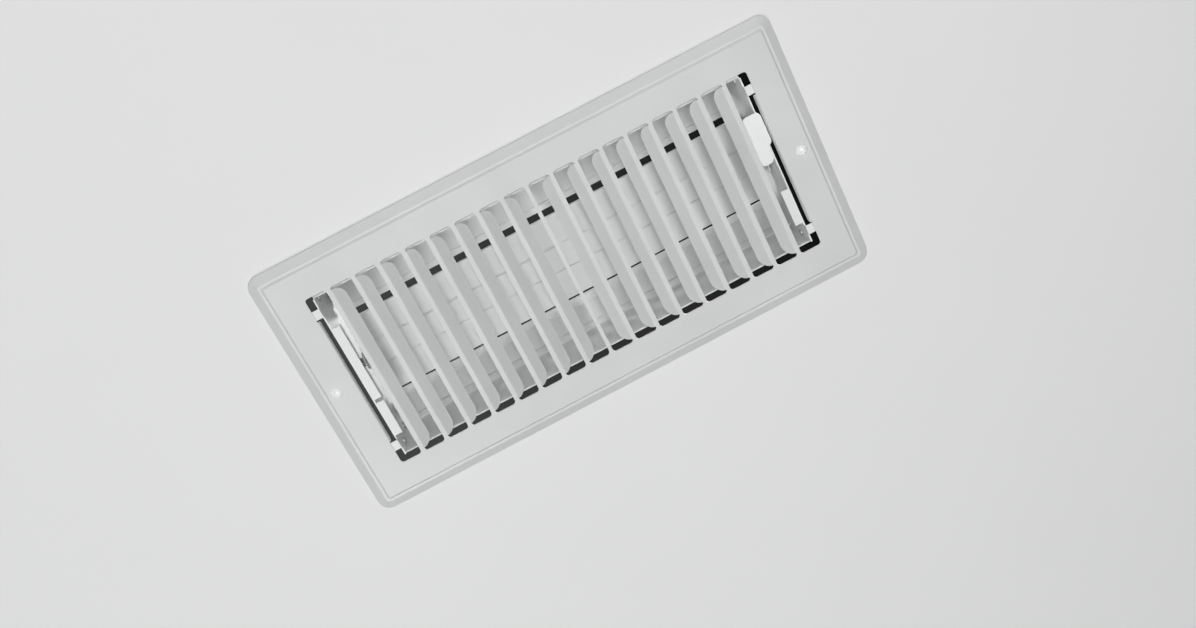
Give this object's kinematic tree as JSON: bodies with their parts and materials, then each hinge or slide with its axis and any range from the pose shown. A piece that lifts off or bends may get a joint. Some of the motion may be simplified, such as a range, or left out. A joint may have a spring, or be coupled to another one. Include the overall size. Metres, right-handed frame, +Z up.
{
  "type": "ceiling register",
  "caption": "Rectangular white steel ceiling register: two-way louvred face with bevelled rim, and a linked opposed-blade damper behind it worked by a finger tab.",
  "frame": {"origin": "middle of the ceiling plane, where the rim's back edge lies, midway between the two screws", "axes": "+X along the face towards the operator's end, +Y across the face, +Z up into the duct"},
  "size_m": [0.2986, 0.146, 0.0603],
  "materials": {
    "face_paint": "satin",
    "damper_paint": "satin",
    "operator_paint": "satin",
    "pin_steel": "satin",
    "screw_paint": "gloss"
  },
  "bodies": {
    "housing": {"faceplate": "face_paint", "upper_side_rail": "damper_paint", "lower_side_rail": "damper_paint", "left_end_plate": "damper_paint", "right_end_plate": "damper_paint", "frame_rivets": "pin_steel", "upper_guide_stud": "pin_steel", "lower_guide_stud": "pin_steel", "upper_left_pivot": "pin_steel", "upper_right_pivot": "pin_steel", "middle_left_pivot": "pin_steel", "middle_right_pivot": "pin_steel", "lower_left_pivot": "pin_steel", "lower_right_pivot": "pin_steel", "mounting_screws": "screw_paint"},
    "upper_vane": {"upper_blade": "damper_paint", "upper_crank_pin": "pin_steel"},
    "middle_vane": {"middle_blade": "damper_paint", "middle_crank_pin": "pin_steel"},
    "lower_vane": {"lower_blade": "damper_paint", "lower_crank_pin": "pin_steel"},
    "operator": {"operator_plate": "operator_paint", "finger_tab": "operator_paint"}
  },
  "joints": [
    {"name": "middle_blade_turn", "type": "hinge", "parent": "housing", "child": "middle_vane", "pos_m": [0, 0, 0.02539], "axis": [1, 0, 0], "range_deg": [0, 80]},
    {"name": "upper_blade_turn", "type": "hinge", "parent": "housing", "child": "upper_vane", "pos_m": [0, -0.0366, 0.03959], "axis": [1, 0, 0], "range_deg": [-80, 0]},
    {"name": "lower_blade_turn", "type": "hinge", "parent": "housing", "child": "lower_vane", "pos_m": [0, 0.0366, 0.03959], "axis": [1, 0, 0], "range_deg": [-80, 0]},
    {"name": "operator_slide", "type": "slide", "parent": "housing", "child": "operator", "axis": [0, 1, 0], "range_m": [0, 0.01158]}
  ],
  "couplings": [
    {"joint": "upper_blade_turn", "follows": "middle_blade_turn", "ratio": -1},
    {"joint": "lower_blade_turn", "follows": "middle_blade_turn", "ratio": -1},
    {"joint": "operator_slide", "follows": "middle_blade_turn", "m_per_rad": 0.0082702}
  ]
}
